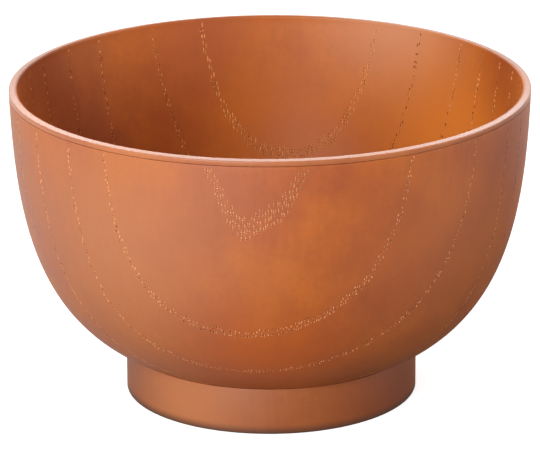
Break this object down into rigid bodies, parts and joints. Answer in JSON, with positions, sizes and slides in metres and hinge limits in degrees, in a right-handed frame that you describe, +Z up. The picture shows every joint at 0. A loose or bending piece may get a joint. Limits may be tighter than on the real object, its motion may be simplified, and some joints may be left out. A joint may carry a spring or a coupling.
{
  "type": "soup bowl",
  "caption": "Deep round soup bowl with a wood-grained outer shell, an inner shell that carries the lip, and a plain upright foot ring.",
  "frame": {"origin": "on the surface the bowl stands on, at the centre of the foot ring", "axes": "+Z up along the bowl's axis, -Y towards the viewer of the picture, where the grain makes its nested arches"},
  "size_m": [0.115, 0.115, 0.0705],
  "materials": {
    "food_side_coat": "satin urethane coat over moulded resin, red-brown, with a fine moulded wood grain",
    "grained_wall_coat": "satin urethane coat over moulded resin, orange-brown, with a fine moulded wood grain",
    "foot_coat": "satin urethane coat over moulded resin, orange-brown, plain"
  },
  "bodies": {
    "root": {"inner_shell": "food_side_coat", "outer_shell": "grained_wall_coat", "foot_ring": "foot_coat"}
  },
  "joints": []
}
